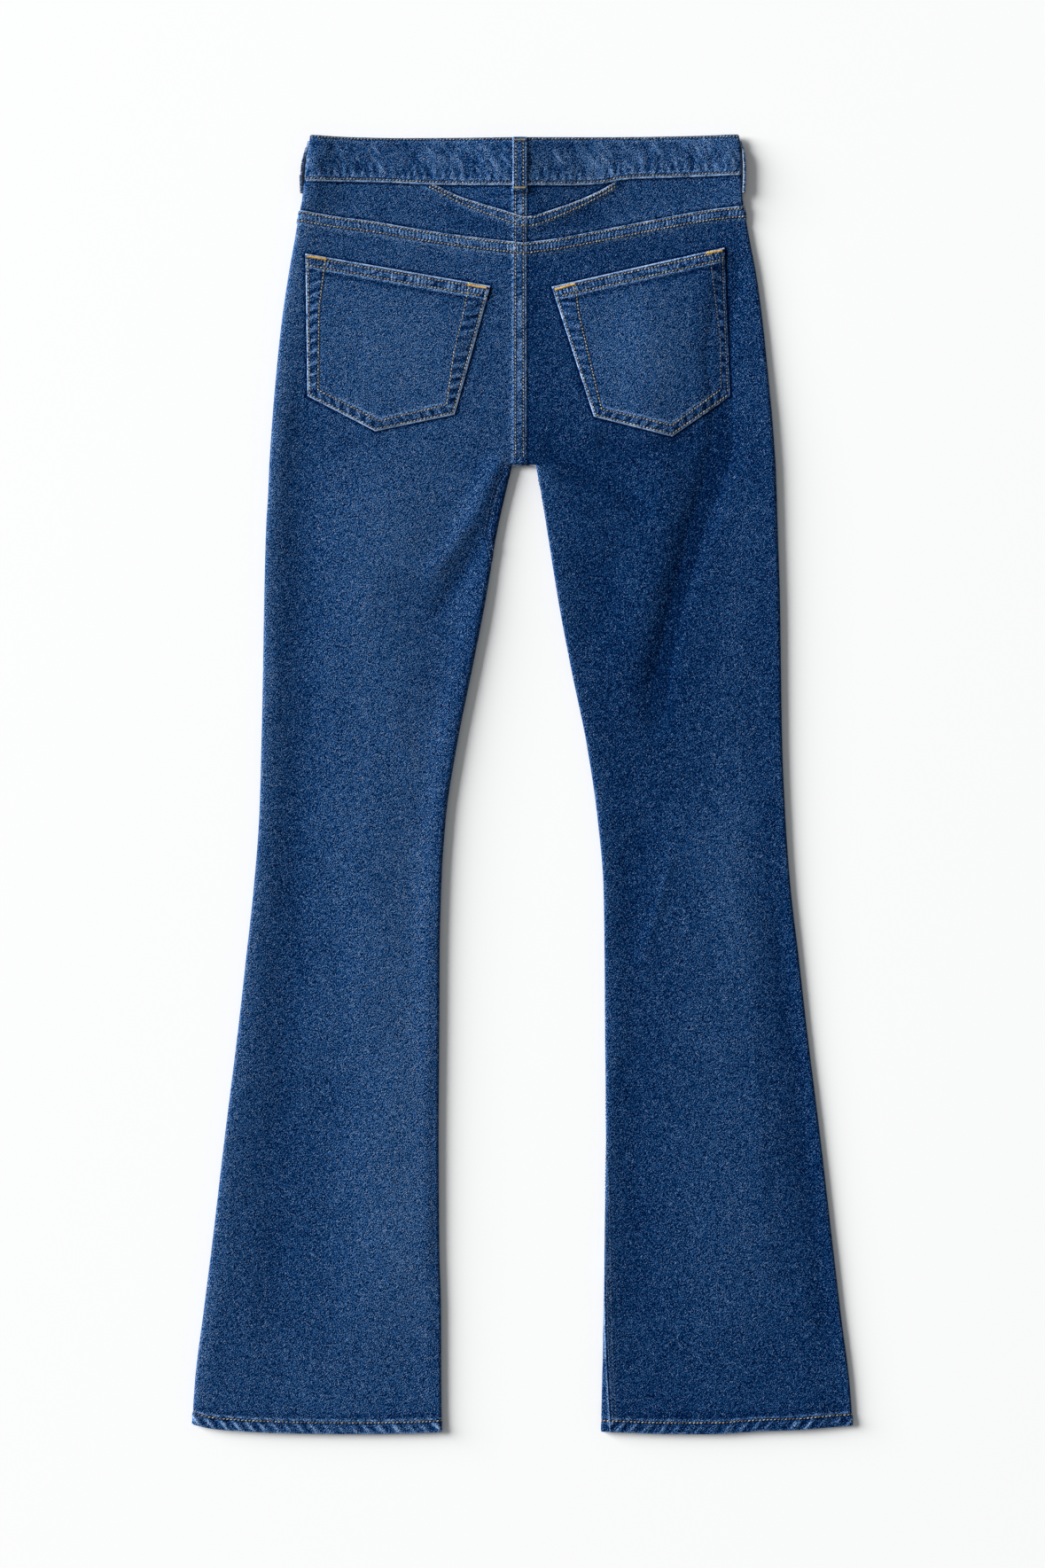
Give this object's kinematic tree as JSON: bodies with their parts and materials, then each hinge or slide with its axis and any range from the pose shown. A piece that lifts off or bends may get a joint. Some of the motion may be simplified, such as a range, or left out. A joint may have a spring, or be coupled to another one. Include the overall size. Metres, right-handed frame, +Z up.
{
  "type": "flared jeans",
  "caption": "Flared denim jeans lying flat with the back up: waistband with belt loops, pointed yoke, patch back pockets, legs widening to stitched hems.",
  "frame": {"origin": "centre of the bounding box in plan, on the surface the jeans lie on", "axes": "+Y towards the waist, along the length; +X towards the wearer's right; +Z up, out of the back of the jeans"},
  "size_m": [0.5734, 1.1273, 0.0137],
  "materials": {
    "denim": "mid-blue indigo twill, lightly faded on edges and seams",
    "thread": "tan topstitching thread, brighter at the bar tacks",
    "button_metal": "satin"
  },
  "bodies": {
    "root": {"waistband": "denim", "belt_loop_back": "denim", "belt_loop_side_left": "denim", "belt_loop_side_right": "denim", "back_yoke_left": "denim", "back_yoke_right": "denim", "yoke_insert_left": "denim", "yoke_insert_right": "denim", "back_leg_left": "denim", "back_leg_right": "denim", "front_leg_left": "denim", "front_leg_right": "denim", "back_pocket_left": "denim", "back_pocket_right": "denim", "waist_button": "button_metal"}
  },
  "joints": []
}
